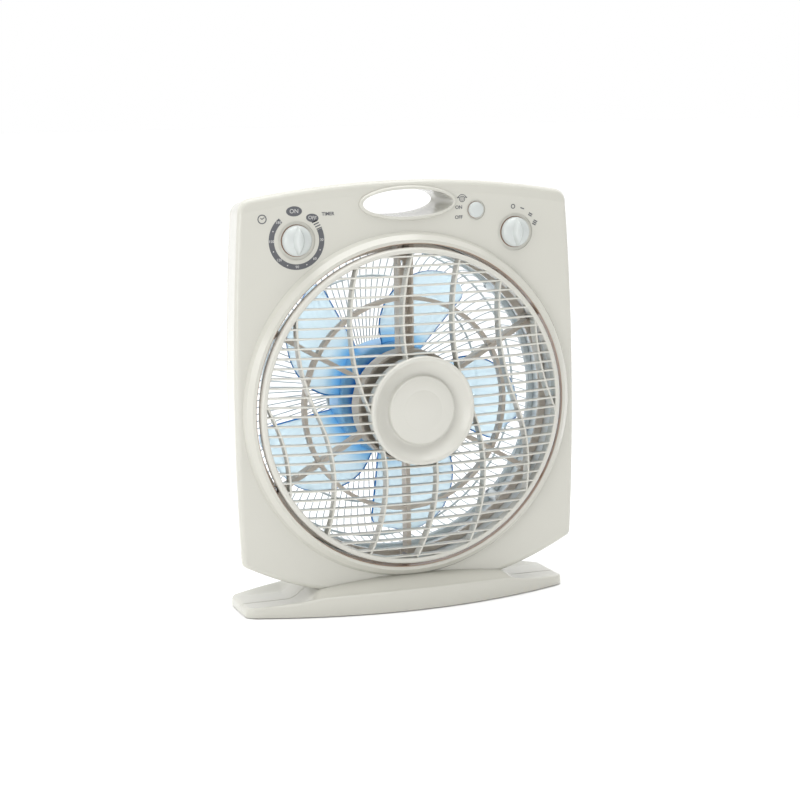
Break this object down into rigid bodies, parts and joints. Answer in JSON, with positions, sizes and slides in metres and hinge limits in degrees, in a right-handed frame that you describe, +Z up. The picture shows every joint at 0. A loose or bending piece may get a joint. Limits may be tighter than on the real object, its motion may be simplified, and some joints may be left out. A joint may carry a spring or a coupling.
{
  "type": "box fan",
  "caption": "Free-standing box fan: slim bulged case with a rotating domed louvre, blue axial impeller, timer and speed dials, a swing button, a carrying handle and a bow-shaped foot.",
  "frame": {"origin": "on the floor, under the middle of the fan's bounding box", "axes": "+Z up, -Y the way the air leaves (the front), +X to the right seen from the front; the fan turns about an axis along Y at 209 mm above the floor"},
  "size_m": [0.369, 0.168, 0.4388],
  "materials": {
    "cream_plastic": "glossy warm light cream-grey ABS",
    "louvre_plastic": "satin cream ABS",
    "spider_plastic": "satin beige-grey plastic",
    "guard_plastic": "satin grey plastic",
    "blue_plastic": "translucent pale blue plastic",
    "knob_plastic": "glossy off-white plastic",
    "dark_plastic": "moulded black plastic",
    "rubber": "matt rubber",
    "bright_steel": "zinc-plated steel",
    "pressed_steel": "grey pressed steel",
    "core_steel": "laminated electrical steel",
    "copper_winding": "varnished copper wire",
    "bronze": "sintered bronze"
  },
  "bodies": {
    "case": {"front_shell": "cream_plastic", "rear_shell": "cream_plastic", "rear_guard": "guard_plastic", "front_spider": "spider_plastic", "base_front": "cream_plastic", "base_rear": "cream_plastic", "rubber_feet": "rubber", "case_screws": "bright_steel", "base_screws": "bright_steel", "spider_screws": "bright_steel", "guard_screws": "bright_steel", "motor_screws": "bright_steel", "motor_front_bracket": "pressed_steel", "motor_rear_bracket": "pressed_steel", "stator_core": "core_steel", "stator_windings": "copper_winding", "motor_bearings": "bronze", "run_capacitor": "dark_plastic", "terminal_block": "dark_plastic", "cable_gland": "dark_plastic", "timer_housing": "dark_plastic", "speed_switch": "dark_plastic", "swing_switch": "dark_plastic", "louvre_gearmotor": "dark_plastic"},
    "impeller": {"impeller": "blue_plastic", "impeller_nut": "blue_plastic", "impeller_washer": "bright_steel", "motor_shaft": "bright_steel", "rotor": "core_steel"},
    "louvre": {"louvre_grille": "louvre_plastic", "hub_cap": "louvre_plastic", "louvre_spindle": "bright_steel", "louvre_screw": "bright_steel"},
    "timer_dial": {"timer_knob": "knob_plastic", "timer_spindle": "bright_steel"},
    "speed_dial": {"speed_knob": "knob_plastic", "speed_spindle": "bright_steel"},
    "swing_button": {"swing_button": "knob_plastic", "swing_plunger": "dark_plastic", "button_spring": "bright_steel"}
  },
  "joints": [
    {"name": "impeller_spin", "type": "hinge", "parent": "case", "child": "impeller", "pos_m": [0, 0.021, 0.209], "axis": [0, 1, 0], "continuous": true},
    {"name": "louvre_spin", "type": "hinge", "parent": "case", "child": "louvre", "pos_m": [0, -0.058, 0.209], "axis": [0, 1, 0], "continuous": true},
    {"name": "timer_turn", "type": "hinge", "parent": "case", "child": "timer_dial", "pos_m": [-0.1176, -0.043, 0.382], "axis": [0, 1, 0], "range_deg": [0, 315]},
    {"name": "speed_turn", "type": "hinge", "parent": "case", "child": "speed_dial", "pos_m": [0.1176, -0.043, 0.382], "axis": [0, 1, 0], "range_deg": [0, 69]},
    {"name": "swing_press", "type": "slide", "parent": "case", "child": "swing_button", "axis": [0, 1, 0], "range_m": [0, 0.003], "stiffness_N_per_m": 300, "springref_m": -0.002, "deforming": ["button_spring"]}
  ]
}
